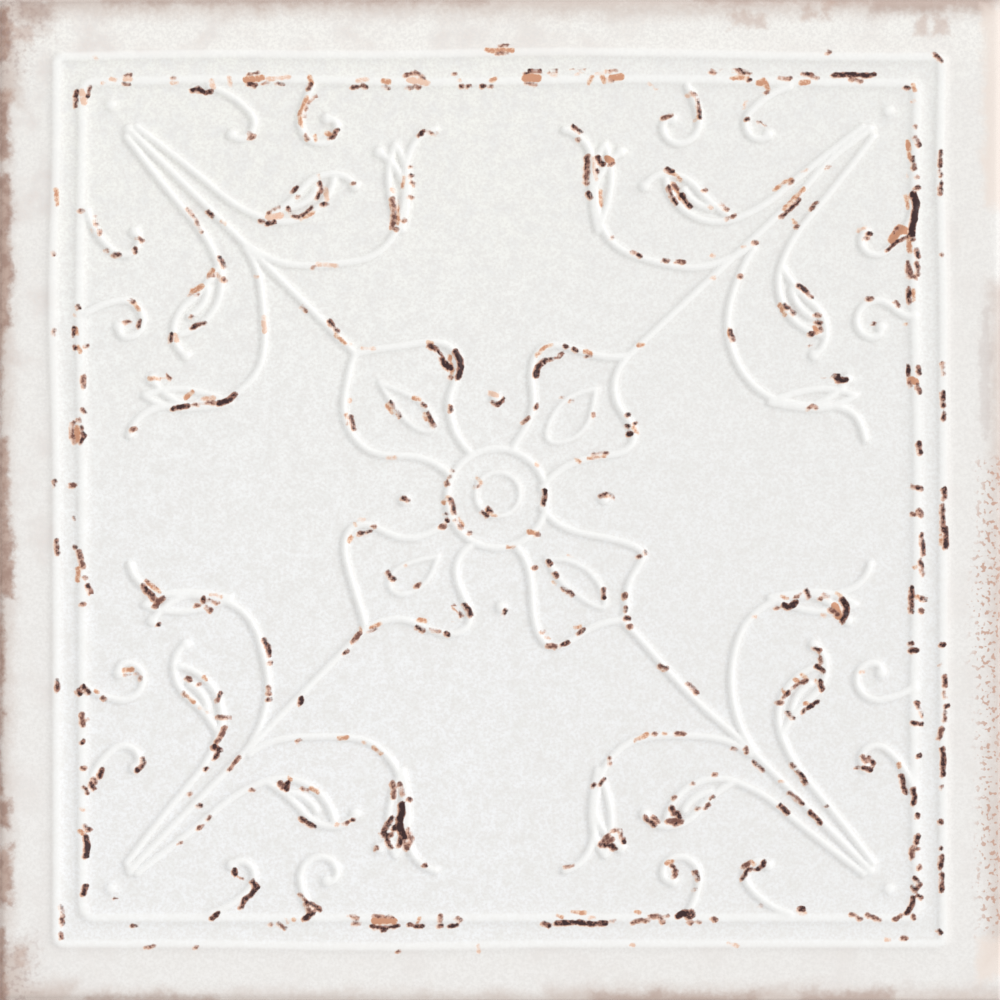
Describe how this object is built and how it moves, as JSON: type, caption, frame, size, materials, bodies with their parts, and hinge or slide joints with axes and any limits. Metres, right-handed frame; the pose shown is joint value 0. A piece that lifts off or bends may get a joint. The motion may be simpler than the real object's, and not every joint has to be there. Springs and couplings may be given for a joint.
{
  "type": "ceramic relief wall tile",
  "caption": "Square glazed ceramic wall tile with a raised double border, corner scroll sprigs and a petalled rosette in low relief, and a keyed back for adhesive.",
  "frame": {"origin": "middle of the square on the plane of the back, which rests on the surface below", "axes": "+Z out of the glazed relief face, +X along one side towards its right-hand edge, +Y along the side at right angles towards its top edge"},
  "size_m": [0.2, 0.2, 0.0088],
  "materials": {
    "tile": "satin"
  },
  "bodies": {
    "root": {"tile": "tile"}
  },
  "joints": []
}
